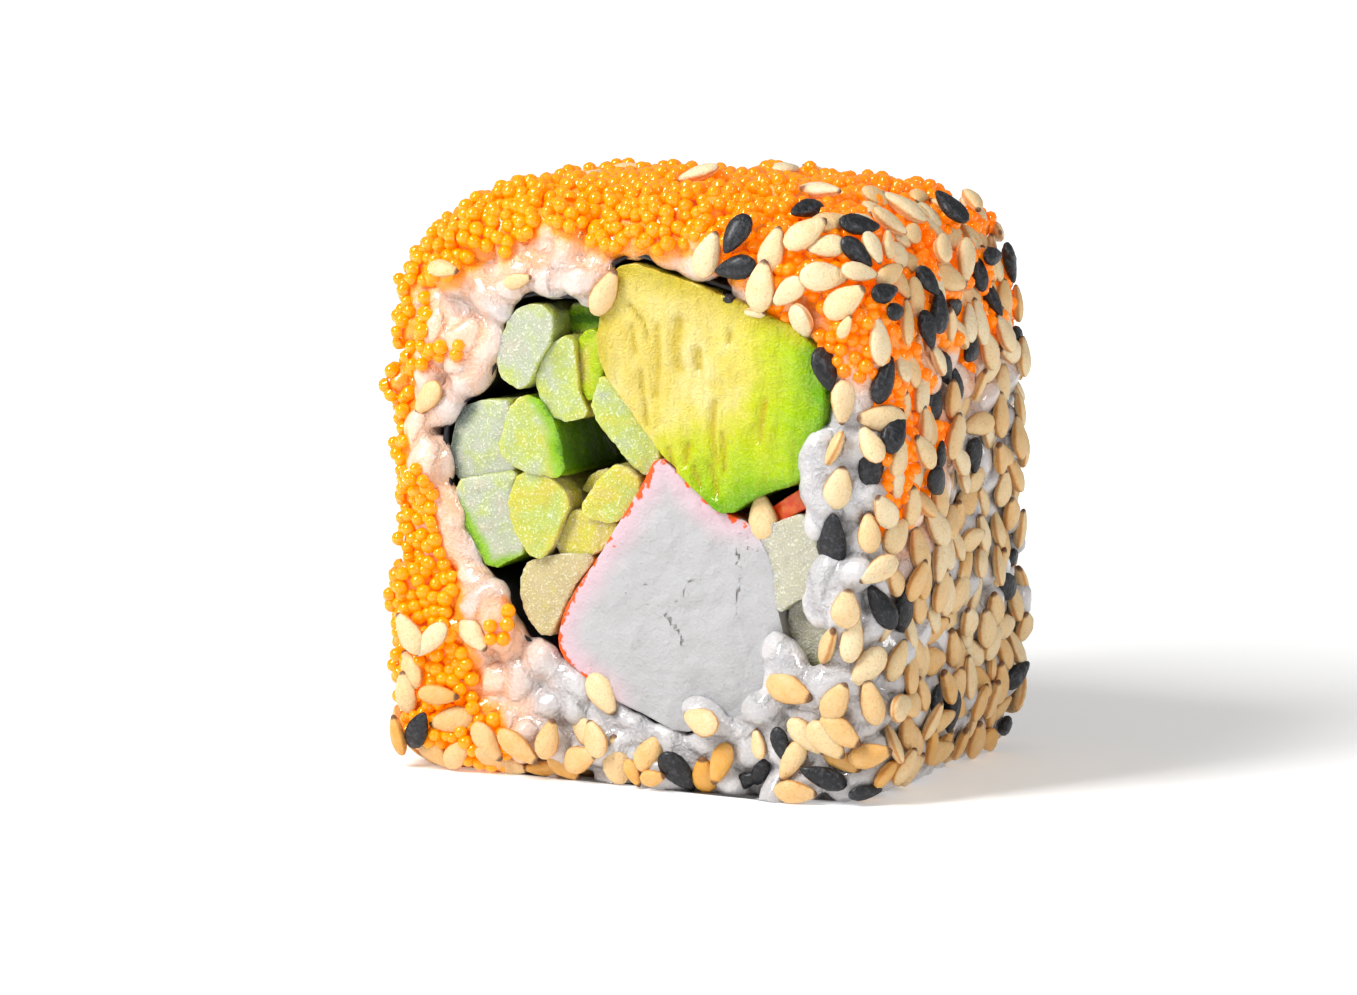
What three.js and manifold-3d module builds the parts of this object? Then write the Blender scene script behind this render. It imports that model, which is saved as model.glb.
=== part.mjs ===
// One piece of uramaki, the inside-out sushi roll, lying on its side with a cut face to the front.
// Sushi rice forms a squarish ring. A sheet of nori lines the ring and holds the fillings: avocado,
// crab stick and cucumber sticks, which all run through from cut to cut. Capelin roe coats the top
// and the left side, and sesame seeds coat the right side, the foot and the edges.
// Millimetres, +Z up, front cut towards -Y, origin under the middle of the piece.
import * as THREE from "three";
import { ParametricGeometry } from "three/addons/geometries/ParametricGeometry.js";
import { ImprovedNoise } from "three/addons/math/ImprovedNoise.js";
import { mergeVertices } from "three/addons/utils/BufferGeometryUtils.js";
import Module from "manifold-3d";

const wasm = await Module();
wasm.setup();

// Driving dimensions of the rice ring.
const LEFT_WIDTH = 18.1; // from the middle out to the left
const RIGHT_WIDTH = 17.9; // and to the right
const HEIGHT = 39.8;
const DEPTH = 26;
const MIDDLE = new THREE.Vector2(0.2, HEIGHT / 2);
const TOP_EDGE = 3.6; // how far the cut edge is rounded off at the crown
const FOOT_EDGE = 1.2; // and at the foot
const FOOT_PRESS = 1.0; // how much of the rice is pressed flat at the foot
const GRAIN_RELIEF = 0.5; // how far the pressed grains stand up or sink
const GRAIN_PITCH = 2.6; // the spacing of the pressed grains

// How finely the ring is divided: round it, across each cut face, over its edge and along its side.
const AROUND = 60;
const FACE_STEPS = 3;
const EDGE_STEPS = 2;
const SIDE_STEPS = 7;
const LINE_STEPS = 160; // straight steps in the line that is measured to
const SHEET_SIDES = 84; // flat sides of the sheet of nori and of the bore that it lines

// Sheet, gaps and the fillings' cuts.
const NORI = 0.35;
const NORI_INSET = 0.2; // how far the sheet's edges sit in from the cut faces
const GAP = 0.32; // kept between neighbours
const CUT_BEVEL = 0.15; // the softened edge of a cut stick
const CORNER = 0.55; // the rounding of a stick's long edges

// Toppings at true size.
const SEED = { length: 3.3, width: 2.0, thickness: 1.05 };
const EGG_RADIUS = 0.62;
const LOOSE_GRAIN = { length: 5.2, width: 2.5, thickness: 2.2 };
const SEEDS = 112;
const EGGS = 96;
const GRAINS = 22;

// The line of the nori: one point for each bend of the sheet, seen from the front as (x, z).
const NORI_LINE = [
  [15.3, 27.3], [14.8, 30.1], [12.8, 32.2], [6.0, 34.5], [0.2, 36.1], [-1.6, 35.0], [-2.4, 33.4],
  [-8.3, 33.0], [-9.8, 31.2], [-10.4, 27.9], [-11.9, 26.2], [-13.7, 25.0], [-14.2, 22.2], [-13.8, 19.9],
  [-13.1, 16.9], [-11.2, 13.7], [-9.4, 12.7], [-8.7, 10.3], [-5.5, 8.0], [-1.1, 5.5], [4.1, 3.5],
  [9.7, 5.5], [12.8, 6.9], [15.0, 9.4], [15.4, 13.4], [14.9, 17.0], [13.9, 19.6], [14.2, 22.8],
];

// Each filling: its cut outline from the front, and how far its front and back ends sit in
// from the rice's faces. Neighbours share their corners, and each is then drawn in by half a gap.
const FILLINGS = {
  avocado: {
    outline: [[-2.2, 30.0], [-1.4, 34.3], [0.2, 35.6], [5.8, 34.1], [12.4, 31.8], [14.6, 29.7],
      [14.8, 26.4], [13.2, 21.6], [9.6, 20.4], [7.6, 19.0], [6.4, 19.5], [2.4, 23.1], [-1.9, 28.4]],
    ends: [-0.3, 0.2], colour: 0xd9dd74,
  },
  surimi: {
    outline: [[2.3, 22.8], [6.3, 19.4], [7.6, 18.8], [9.0, 18.5], [10.6, 15.8], [11.2, 11.6], [12.5, 7.3],
      [9.5, 6.0], [4.1, 4.0], [-1.0, 6.0], [-5.1, 8.7], [-5.1, 10.6], [-4.2, 12.8], [-2.1, 15.6], [1.2, 20.7]],
    ends: [0, 0.3], colour: 0xecebee,
  },
  surimi_strip: {
    outline: [[9.2, 19.0], [13.2, 21.4], [13.3, 19.8], [10.1, 18.0]],
    ends: [0.9, 0.9], colour: 0xe8502a,
  },
  cucumber_01: {
    outline: [[-9.9, 28.2], [-9.3, 30.9], [-8.0, 32.5], [-5.8, 32.4], [-5.5, 30.2], [-6.9, 28.1],
      [-7.1, 26.8], [-8.8, 27.0]],
    ends: [-0.2, 0.5], colour: 0xd8e6d2,
  },
  cucumber_02: {
    outline: [[-5.8, 32.4], [-1.9, 32.8], [-2.3, 31.0], [-5.5, 30.2]],
    ends: [2.4, 0.6], colour: 0x8e9a4e,
  },
  cucumber_03: {
    outline: [[-5.5, 30.2], [-4.1, 30.6], [-3.8, 26.3], [-2.8, 25.3], [-5.4, 24.5], [-6.9, 26.6],
      [-6.9, 28.1]],
    ends: [0.2, 1.0], colour: 0xd3e2bd,
  },
  cucumber_04: {
    outline: [[-4.1, 30.6], [-2.3, 31.0], [-2.2, 28.4], [-2.5, 26.2], [-3.8, 26.3]],
    ends: [0.7, 1.6], colour: 0xb9cf1a,
  },
  cucumber_05: {
    outline: [[-2.7, 26.2], [-1.9, 28.3], [2.3, 22.9], [1.5, 21.2], [0.4, 21.5], [-2.8, 25.2]],
    ends: [0.4, 0.2], colour: 0xdce3c0,
  },
  cucumber_06: {
    outline: [[-13.2, 24.7], [-11.7, 25.7], [-8.7, 25.9], [-9.8, 22.5], [-8.1, 21.2], [-13.3, 20.1],
      [-13.7, 22.3]],
    ends: [0.3, 0.7], colour: 0xcfdcc4,
  },
  cucumber_07: {
    outline: [[-9.8, 22.5], [-8.7, 25.9], [-6.9, 26.4], [-5.4, 24.4], [-4.7, 21.0], [-6.2, 20.9],
      [-8.1, 21.2]],
    ends: [-0.1, 0.1], colour: 0xcfe0a4,
  },
  cucumber_08: {
    outline: [[-13.3, 20.1], [-8.1, 21.2], [-9.0, 19.1], [-8.7, 17.3], [-7.6, 15.8], [-10.7, 14.1],
      [-12.6, 17.0]],
    ends: [0.1, 0.9], colour: 0xcddcae,
  },
  cucumber_09: {
    outline: [[-9.0, 19.1], [-8.0, 21.2], [-6.2, 20.9], [-4.3, 19.3], [-5.0, 17.8], [-5.8, 15.6],
      [-7.1, 15.0], [-8.6, 17.3]],
    ends: [-0.2, 0.4], colour: 0xdde9a6,
  },
  cucumber_10: {
    outline: [[-4.5, 20.7], [-1.8, 21.6], [-4.1, 19.1]],
    ends: [2.2, 1.2], colour: 0xb6b43c,
  },
  cucumber_11: {
    outline: [[-3.8, 18.8], [-1.6, 21.5], [-0.4, 22.0], [1.1, 20.5], [-0.3, 18.2], [-2.1, 17.9]],
    ends: [0, 0.6], colour: 0xe2e6a8,
  },
  cucumber_12: {
    outline: [[-5.1, 17.9], [-3.8, 18.8], [-2.1, 17.9], [-0.4, 18.0], [-2.2, 15.7], [-5.8, 15.4]],
    ends: [0.5, 0.3], colour: 0xd9d48a,
  },
  cucumber_13: {
    outline: [[-8.0, 14.4], [-7.2, 15.0], [-5.8, 15.4], [-2.3, 15.6], [-4.4, 12.9], [-5.3, 10.6],
      [-6.1, 9.6], [-7.2, 10.5], [-8.2, 12.3]],
    ends: [0.1, 0.5], colour: 0xd9d7a4,
  },
  cucumber_14: {
    outline: [[9.4, 17.9], [13.2, 19.4], [14.5, 16.6], [14.9, 13.9], [12.3, 13.6], [11.1, 12.1],
      [10.6, 15.8]],
    ends: [0.2, 0.4], colour: 0xe6ead0,
  },
  cucumber_15: {
    outline: [[12.3, 13.6], [14.9, 13.9], [14.6, 9.8], [12.8, 7.7], [11.2, 12.1]],
    ends: [1.3, 0.6], colour: 0xc9cf8e,
  },
};

// A seeded random number from 0 to 1, the same on every run.
function seededRandom(seed) {
  let state = seed;
  return () => {
    state = (state * 1664525 + 1013904223) % 4294967296;
    return state / 4294967296;
  };
}

// A geometry as a solid that can be joined and cut, and back again.
function solidOf(geometry) {
  const bare = new THREE.BufferGeometry();
  bare.setAttribute("position", geometry.getAttribute("position"));
  bare.setIndex(geometry.index);
  const merged = mergeVertices(bare, 1e-4);
  return new wasm.Manifold(new wasm.Mesh({
    numProp: 3,
    vertProperties: merged.getAttribute("position").array,
    triVerts: new Uint32Array(merged.index.array),
  }));
}

function geometryOf(solid) {
  const { vertProperties, triVerts } = solid.getMesh();
  const geometry = new THREE.BufferGeometry();
  geometry.setAttribute("position", new THREE.BufferAttribute(vertProperties, 3));
  geometry.setIndex(new THREE.BufferAttribute(triVerts, 1));
  geometry.computeVertexNormals();
  return geometry;
}

// The rice's outline is a squircle that gets squarer towards the foot, where it lies pressed flat.
function outerRadius(angle) {
  const across = Math.cos(angle);
  const up = Math.sin(angle);
  const squareness = up > 0 ? 5.2 : 5.2 - 4.5 * up;
  const width = across > 0 ? RIGHT_WIDTH : LEFT_WIDTH;
  const height = HEIGHT / 2 + (up > 0 ? 0 : FOOT_PRESS);
  const share = Math.abs(across / width) ** squareness + Math.abs(up / height) ** squareness;
  return share ** (-1 / squareness);
}

// The nori's line as a closed curve, stepped out sideways by the given distance.
const noriCurve = new THREE.CatmullRomCurve3(
  NORI_LINE.map(([x, z]) => new THREE.Vector3(x, z, 0)), true, "centripetal",
);

function noriOutline(offset, count) {
  return Array.from({ length: count }, (_, i) => {
    const point = noriCurve.getPointAt(i / count);
    const along = noriCurve.getTangentAt(i / count);
    return new THREE.Vector2(point.x + along.y * offset, point.y - along.x * offset);
  });
}

// The distance from MIDDLE to a closed outline in one direction.
function reach(outline, angle) {
  const out = new THREE.Vector2(Math.cos(angle), Math.sin(angle));
  for (let i = 0; i < outline.length; i++) {
    const a = outline[i].clone().sub(MIDDLE);
    const side = outline[(i + 1) % outline.length].clone().sub(outline[i]);
    const turn = out.cross(side);
    const along = a.cross(out) / turn;
    const distance = a.cross(side) / turn;
    if (along >= 0 && along <= 1 && distance > 0) return distance;
  }
  throw new Error("the outline doesn't go round the middle");
}

const grainNoise = new ImprovedNoise();

// A point of the rice: the direction round the ring, how far in from the outline, and the depth.
function ricePoint(angle, inwards, y, relief) {
  const radius = outerRadius(angle) - inwards;
  const x = MIDDLE.x + Math.cos(angle) * radius;
  const z = MIDDLE.y + Math.sin(angle) * radius;
  const bump = relief * grainNoise.noise(x / GRAIN_PITCH, y / GRAIN_PITCH, z / GRAIN_PITCH) * 2;
  const facing = Math.abs(y) / (DEPTH / 2);
  return new THREE.Vector3(
    x + Math.cos(angle) * bump * (1 - facing ** 4),
    y + Math.sign(y) * bump * facing ** 4,
    z + Math.sin(angle) * bump * (1 - facing ** 4),
  );
}

// How far the cut edge is rounded off in one direction.
function edgeRound(angle) {
  return THREE.MathUtils.lerp(FOOT_EDGE, TOP_EDGE, THREE.MathUtils.smoothstep(Math.sin(angle), -0.9, 0.9));
}

// One slice through the ring's wall, as [inwards, y, relief]: in over the back face, forward
// along the bore, out over the front face and back along the outside.
function wallSlice(angle, bore) {
  const wall = outerRadius(angle) - reach(bore, angle);
  const round = Math.min(edgeRound(angle), wall * 0.7);
  const face = DEPTH / 2;
  const rim = [];
  for (let i = 0; i < FACE_STEPS; i++) {
    const share = i / FACE_STEPS;
    rim.push([THREE.MathUtils.lerp(wall, round, share), face, share ? 1 : 0]);
  }
  for (let i = 0; i < EDGE_STEPS; i++) {
    const turn = (i / EDGE_STEPS) * (Math.PI / 2);
    rim.push([round * (1 - Math.sin(turn)), face - round * (1 - Math.cos(turn)), 1]);
  }
  const side = [];
  for (let i = 0; i <= SIDE_STEPS; i++) {
    side.push([0, (face - round) * (1 - (2 * i) / SIDE_STEPS), 1]);
  }
  const front = rim.map(([inwards, y, relief]) => [inwards, -y, relief]);
  return [...rim, ...side, ...front.reverse()];
}

// The ring of rice: slices through its wall, one after the other round the middle. Its bore is
// left a little tight, so that the drill that follows makes the whole inner wall.
function riceRing() {
  const bore = noriOutline(-GAP, LINE_STEPS);
  const slices = Array.from({ length: AROUND }, (_, i) => {
    const angle = (i / AROUND) * 2 * Math.PI;
    return wallSlice(angle, bore).map(([inwards, y, relief]) =>
      ricePoint(angle, inwards, y, relief * GRAIN_RELIEF));
  });
  const steps = slices[0].length;
  return solidOf(new ParametricGeometry((u, v, target) => {
    target.copy(slices[Math.round(u * AROUND) % AROUND][Math.round(v * steps) % steps]);
  }, AROUND, steps));
}

// A small thing bedded in the surface of the rice, turned in its own plane.
function bedded(geometry, place, outwards, spin, lift) {
  const lying = new THREE.Quaternion().setFromUnitVectors(new THREE.Vector3(0, 0, 1), outwards);
  const turned = new THREE.Quaternion().setFromAxisAngle(new THREE.Vector3(0, 0, 1), spin);
  const copy = geometry.clone();
  copy.applyQuaternion(lying.multiply(turned));
  copy.translate(...place.clone().addScaledVector(outwards, lift).toArray());
  return solidOf(copy);
}

// A sesame seed lies flat, with one end drawn out to a point.
function seedGeometry() {
  const geometry = new THREE.SphereGeometry(0.5, 6, 3);
  geometry.rotateZ(Math.PI / 2);
  const position = geometry.getAttribute("position");
  for (let i = 0; i < position.count; i++) {
    const along = position.getX(i);
    const taper = along > 0 ? 1 - 0.5 * along : 1;
    position.setXYZ(i, along * SEED.length, position.getY(i) * SEED.width * taper,
      position.getZ(i) * SEED.thickness * taper);
  }
  return geometry;
}

function grainGeometry() {
  const { length, width, thickness } = LOOSE_GRAIN;
  return new THREE.SphereGeometry(0.5, 6, 3).rotateZ(Math.PI / 2).scale(length, width, thickness);
}

// Where the skin faces, from the slope between near points.
function skinAt(angle, y) {
  const step = 0.02;
  const place = ricePoint(angle, 0, y, 0);
  const round = ricePoint(angle + step, 0, y, 0).sub(ricePoint(angle - step, 0, y, 0));
  const outwards = new THREE.Vector3(round.z, 0, -round.x).normalize();
  const face = DEPTH / 2;
  const edge = edgeRound(angle);
  const over = Math.max(0, Math.abs(y) - (face - edge)) / edge;
  const tilt = Math.asin(Math.min(over, 0.95));
  place.addScaledVector(outwards, -edge * (1 - Math.cos(tilt)));
  outwards.multiplyScalar(Math.cos(tilt)).add(new THREE.Vector3(0, Math.sign(y) * Math.sin(tilt), 0));
  return { place, outwards: outwards.normalize() };
}

// Seeds crowd the right side and the foot, and eggs crowd the crown and the left side.
function seedShare(angle) {
  const across = Math.cos(angle);
  const up = Math.sin(angle);
  if (across > 0.55) return 1;
  if (up < -0.55) return 0.7;
  if (up > 0.5 && across > 0) return 0.45;
  return 0.06;
}

function eggShare(angle) {
  const across = Math.cos(angle);
  const up = Math.sin(angle);
  if (up > 0.45 && across < 0.5) return 1;
  if (across < -0.6) return 0.8;
  return up > 0.3 ? 0.3 : 0;
}

// Scatters places on the outside, apart from each other and from those already taken.
function scatter(count, apart, share, taken, random) {
  const found = [];
  for (let attempt = 0; found.length < count && attempt < count * 400; attempt++) {
    const angle = random() * 2 * Math.PI;
    const y = (random() - 0.5) * (DEPTH - 0.6);
    if (random() > share(angle)) continue;
    const spot = skinAt(angle, y);
    if (spot.place.z < 0.9) continue;
    if (taken.some((other) => other.distanceTo(spot.place) < apart)) continue;
    taken.push(spot.place);
    found.push({ ...spot, spin: random() * 2 * Math.PI });
  }
  return found;
}

// Loose grains lie on both cut faces, half way out from the nori to the skin.
function facePlaces(count, random) {
  const bore = noriOutline(NORI / 2 + GAP, LINE_STEPS);
  return Array.from({ length: count }, (_, i) => {
    const angle = ((i + random() * 0.6) / count) * 4 * Math.PI;
    const side = i < count / 2 ? -1 : 1;
    const wall = outerRadius(angle) - reach(bore, angle);
    const inwards = Math.max(edgeRound(angle), wall * 0.45);
    const place = ricePoint(angle, inwards, (side * DEPTH) / 2, 0);
    return { wall, angle, place, outwards: new THREE.Vector3(0, side, 0), spin: random() * Math.PI };
  }).filter(({ wall }) => wall > LOOSE_GRAIN.width * 1.3);
}

// Joins what is bedded to the ring, cuts the foot flat, drills the bore and drops loose scraps.
function coatedRice() {
  const random = seededRandom(20);
  const seed = seedGeometry();
  const egg = new THREE.IcosahedronGeometry(EGG_RADIUS, 0);
  const grain = grainGeometry();
  const taken = [];
  const seeds = scatter(SEEDS, SEED.length * 0.86, seedShare, taken, random);
  const eggs = scatter(EGGS, EGG_RADIUS * 3.1, eggShare, taken, random);
  const grains = facePlaces(GRAINS, random);
  const pieces = [
    riceRing(),
    ...seeds.map((s) => bedded(seed, s.place, s.outwards, s.spin, SEED.thickness * 0.3)),
    ...eggs.map((e) => bedded(egg, e.place, e.outwards, e.spin, EGG_RADIUS * 0.45)),
    ...grains.map((g) => bedded(grain, g.place, g.outwards, g.spin, -0.35)),
  ];
  const wide = 2 * HEIGHT;
  const room = solidOf(new THREE.BoxGeometry(wide, wide, wide).translate(0, 0, wide / 2));
  const bore = new THREE.Shape(noriOutline(NORI / 2 + GAP, SHEET_SIDES));
  const drill = new THREE.ExtrudeGeometry(bore, { depth: 3 * DEPTH, bevelEnabled: false });
  drill.rotateX(Math.PI / 2).translate(0, 1.5 * DEPTH, 0);
  const joined = wasm.Manifold.union(pieces).intersect(room).subtract(solidOf(drill));
  return joined.decompose().reduce((most, next) => (next.volume() > most.volume() ? next : most));
}

// The outline's corners moved in until each side has stepped in by the distance.
function drawnIn(corners, distance) {
  return corners.map((corner, i) => {
    const into = corner.clone().sub(corners.at(i - 1)).normalize();
    const out = corners[(i + 1) % corners.length].clone().sub(corner).normalize();
    const lean = out.clone().sub(into).multiplyScalar(distance / into.cross(out));
    return corner.clone().add(lean);
  });
}

// An outline drawn in by half a gap and with its corners rounded off, as a shape to extrude.
function roundedShape(outline, radius) {
  const drawn = outline.map(([x, z]) => new THREE.Vector2(x, z)).reverse();
  const corners = drawnIn(drawn, GAP / 2);
  const shape = new THREE.Shape();
  corners.forEach((corner, i) => {
    const before = corners.at(i - 1);
    const after = corners[(i + 1) % corners.length];
    const reachOf = (other) => Math.min(radius / corner.distanceTo(other), 0.4);
    const from = corner.clone().lerp(before, reachOf(before));
    const to = corner.clone().lerp(after, reachOf(after));
    if (i === 0) shape.moveTo(from.x, from.y);
    else shape.lineTo(from.x, from.y);
    shape.quadraticCurveTo(corner.x, corner.y, to.x, to.y);
  });
  shape.closePath();
  return shape;
}

// Lays an extrusion along the roll: the outline stands upright and its length runs front to back.
function alongRoll(name, geometry, back, colour, roughness) {
  const material = new THREE.MeshStandardMaterial({ color: colour, roughness, metalness: 0 });
  const mesh = new THREE.Mesh(geometry, material);
  mesh.name = name;
  mesh.rotation.x = Math.PI / 2;
  mesh.position.y = back;
  return mesh;
}

function fillingMesh(name, { outline, ends, colour }) {
  const length = DEPTH - ends[0] - ends[1];
  const geometry = new THREE.ExtrudeGeometry(roundedShape(outline, CORNER), {
    depth: length - 2 * CUT_BEVEL,
    curveSegments: 1,
    bevelThickness: CUT_BEVEL,
    bevelSize: CUT_BEVEL,
    bevelOffset: -CUT_BEVEL,
    bevelSegments: 1,
  });
  return alongRoll(name, geometry, DEPTH / 2 - ends[1] - CUT_BEVEL, colour, 0.35);
}

function noriMesh() {
  const shape = new THREE.Shape(noriOutline(NORI / 2, SHEET_SIDES));
  shape.holes.push(new THREE.Path(noriOutline(-NORI / 2, SHEET_SIDES)));
  const depth = DEPTH - 2 * NORI_INSET;
  const geometry = new THREE.ExtrudeGeometry(shape, { depth, bevelEnabled: false });
  return alongRoll("nori", geometry, DEPTH / 2 - NORI_INSET, 0x1c211c, 0.45);
}

const rice = new THREE.Mesh(
  geometryOf(coatedRice()),
  new THREE.MeshStandardMaterial({ color: 0xe9e4df, roughness: 0.4, metalness: 0 }),
);
rice.name = "rice";

const roll = new THREE.Group();
roll.add(rice, noriMesh(), ...Object.entries(FILLINGS).map(([name, f]) => fillingMesh(name, f)));

export default roll;
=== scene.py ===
# %% [markdown]
# # One piece of uramaki
# Uramaki is the sushi roll with its rice on the outside. The frame loaded here is a plain faceted model
# of one cut piece: a ring of rice, the sheet of nori that lines it, and the sticks and wedges inside.
# Each cell below turns one of them into food: it takes the plain solid from the frame, or starts from
# a primitive, and shapes it the way one would by hand in Blender. Sizes are written in millimetres.

import itertools
import math
import random

import bpy
import numpy as np
from mathutils import Matrix, Vector, noise
from mathutils.bvhtree import BVHTree
from mathutils.geometry import intersect_line_plane
from mathutils.kdtree import KDTree


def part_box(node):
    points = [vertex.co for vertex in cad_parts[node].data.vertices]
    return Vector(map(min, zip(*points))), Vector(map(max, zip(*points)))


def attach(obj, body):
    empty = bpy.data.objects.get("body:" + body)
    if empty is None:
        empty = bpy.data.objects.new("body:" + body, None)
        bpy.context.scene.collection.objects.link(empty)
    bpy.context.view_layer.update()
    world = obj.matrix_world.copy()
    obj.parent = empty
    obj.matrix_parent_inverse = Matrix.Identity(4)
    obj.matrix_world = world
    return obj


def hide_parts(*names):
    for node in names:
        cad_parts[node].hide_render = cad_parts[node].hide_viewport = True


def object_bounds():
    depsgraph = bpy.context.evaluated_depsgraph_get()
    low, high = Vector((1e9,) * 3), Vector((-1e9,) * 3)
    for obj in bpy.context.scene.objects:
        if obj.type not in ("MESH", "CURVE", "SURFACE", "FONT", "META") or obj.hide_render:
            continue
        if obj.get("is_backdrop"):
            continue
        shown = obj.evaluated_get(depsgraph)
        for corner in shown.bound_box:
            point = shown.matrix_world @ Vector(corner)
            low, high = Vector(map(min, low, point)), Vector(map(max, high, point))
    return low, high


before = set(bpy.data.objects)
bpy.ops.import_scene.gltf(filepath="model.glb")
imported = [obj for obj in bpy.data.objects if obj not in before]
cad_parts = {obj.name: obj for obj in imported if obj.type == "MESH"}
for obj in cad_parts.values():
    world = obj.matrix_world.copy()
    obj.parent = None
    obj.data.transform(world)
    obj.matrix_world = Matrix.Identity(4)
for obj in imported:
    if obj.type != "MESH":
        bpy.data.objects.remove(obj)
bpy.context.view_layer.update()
MM = 0.001
chance = random.Random(7)

# %% [markdown]
# ## The camera
# The picture was taken from a little to the right of the cut face and a little above it, from close by
# with a long lens. The camera comes first, because some seeds are laid where the picture shows them:
# a ray from the camera through a pixel ends on the surface that the seed lies on.

# %% Camera
AZIMUTH = math.radians(26)
ELEVATION = math.radians(7)
DISTANCE = 300 * MM
TARGET = Vector((-2.49, 0, 18.16)) * MM
LENS = 112.95
PICTURE = (1357, 995)

bpy.ops.object.camera_add()
camera = bpy.context.object
backwards = Vector((
    math.sin(AZIMUTH) * math.cos(ELEVATION), -math.cos(AZIMUTH) * math.cos(ELEVATION), math.sin(ELEVATION),
))
camera.location = TARGET + backwards * DISTANCE
camera.rotation_euler = backwards.to_track_quat("Z", "Y").to_euler()
camera.data.lens = LENS
camera.data.clip_start = 10 * MM
bpy.context.scene.camera = camera
bpy.context.view_layer.update()


def camera_ray(px, py):
    """The direction from the camera through a pixel of the picture."""
    focal = LENS / camera.data.sensor_width * PICTURE[0]
    aim = Vector((px - PICTURE[0] / 2, PICTURE[1] / 2 - py, -focal)).normalized()
    return camera.matrix_world.to_3x3() @ aim


def on_cut(px, py):
    """Where a pixel of the picture lies on the cut face, as x and z in mm."""
    aim = camera_ray(px, py)
    spot = camera.location + aim * ((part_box("avocado")[0].y - camera.location.y) / aim.y)
    return spot.x / MM, spot.z / MM


print("camera:", [round(x / MM) for x in camera.location], "mm")

# %% [markdown]
# ## Hand tools
# The same few moves come back all the time: pick one object, run a modifier and apply it, go into edit
# mode with just some faces selected. Operators act on all that is selected, so every move starts
# by deselecting everything.

# %% Hand tools


def only(*pieces):
    """Selects these pieces and nothing else, with the first one active."""
    if bpy.context.object and bpy.context.object.mode != "OBJECT":
        bpy.ops.object.mode_set(mode="OBJECT")
    bpy.ops.object.select_all(action="DESELECT")
    for piece in pieces:
        piece.select_set(True)
    bpy.context.view_layer.objects.active = pieces[0]


def shaped_by(piece, modifier, **settings):
    """Adds a modifier to a piece and applies it."""
    only(piece)
    added = piece.modifiers.new(modifier.title(), modifier)
    for name, value in settings.items():
        setattr(added, name, value)
    bpy.ops.object.modifier_apply(modifier=added.name)


def select_faces(piece, wanted):
    """Goes into edit mode with the faces selected whose centre and normal are wanted."""
    only(piece)
    bpy.ops.object.mode_set(mode="EDIT")
    bpy.ops.mesh.select_mode(type="FACE")
    bpy.ops.mesh.select_all(action="DESELECT")
    bpy.ops.object.mode_set(mode="OBJECT")
    for face in piece.data.polygons:
        face.select = wanted(face.center, face.normal)
    bpy.ops.object.mode_set(mode="EDIT")


def copy_of(node, name):
    """A copy of a frame node's mesh as an object of its own, with its loose triangles merged."""
    piece = bpy.data.objects.new(name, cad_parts[node].data.copy())
    piece.data.materials.clear()
    bpy.context.scene.collection.objects.link(piece)
    select_faces(piece, lambda centre, normal: True)
    bpy.ops.mesh.remove_doubles(threshold=0.001 * MM)
    bpy.ops.mesh.normals_make_consistent(inside=False)
    bpy.ops.object.mode_set(mode="OBJECT")
    return piece


def joined(name, *pieces):
    """Joins pieces into one object."""
    only(*pieces)
    bpy.ops.object.join()
    pieces[0].name = name
    return pieces[0]


def smooth_shaded(piece):
    """Shades a piece smooth, with its normals pointing out."""
    select_faces(piece, lambda centre, normal: True)
    bpy.ops.mesh.normals_make_consistent(inside=False)
    bpy.ops.object.mode_set(mode="OBJECT")
    bpy.ops.object.shade_smooth()


def points_of(piece):
    """The vertices of a piece as rows of x, y, z in millimetres."""
    flat = np.empty(len(piece.data.vertices) * 3)
    piece.data.vertices.foreach_get("co", flat)
    return flat.reshape(-1, 3) / MM


def painted(piece, name, values):
    """Stores one number for each vertex, for the materials to read."""
    layer = piece.data.attributes.new(name, "FLOAT", "POINT")
    layer.data.foreach_set("value", np.asarray(values, dtype=np.float32))


def roughened(piece, pattern, size, height, stretch=(1, 1, 1), direction="NORMAL"):
    """Moves the surface in and out by a procedural pattern, with features of the given size in mm."""
    texture = bpy.data.textures.new(pattern.title(), pattern)
    texture.noise_scale = 1
    lattice = bpy.data.objects.new("pattern_space", None)
    lattice.scale = Vector(stretch) * size * MM
    bpy.context.scene.collection.objects.link(lattice)
    bpy.context.view_layer.update()
    shaped_by(piece, "DISPLACE", texture=texture, strength=height * MM, mid_level=0.5,
              texture_coords="OBJECT", texture_coords_object=lattice, direction=direction)
    bpy.data.objects.remove(lattice)
    bpy.data.textures.remove(texture)


# %% [markdown]
# ## Shader sums
# A material here is mostly arithmetic on patterns. Instead of placing Math nodes by hand, a small class
# wraps a socket, and its operators add the nodes: `1 - mask * 0.5` becomes two Math nodes. Any
# other node comes from one method, which takes the node's type, its settings and its inputs.

# %% Shader sums


class Amount:
    """A shader socket that can be added, multiplied and so on, each time by a new Math node."""

    def __init__(self, finish, socket):
        self.finish = finish
        self.socket = socket

    def _math(self, operation, first, second):
        return self.finish.node("ShaderNodeMath", {"operation": operation}, {0: first, 1: second})

    def __add__(self, other):
        return self._math("ADD", self, other)

    def __sub__(self, other):
        return self._math("SUBTRACT", self, other)

    def __rsub__(self, other):
        return self._math("SUBTRACT", other, self)

    def __mul__(self, other):
        return self._math("MULTIPLY", self, other)

    def at_least(self, other):
        return self._math("MAXIMUM", self, other)

    __radd__ = __add__
    __rmul__ = __mul__


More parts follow.
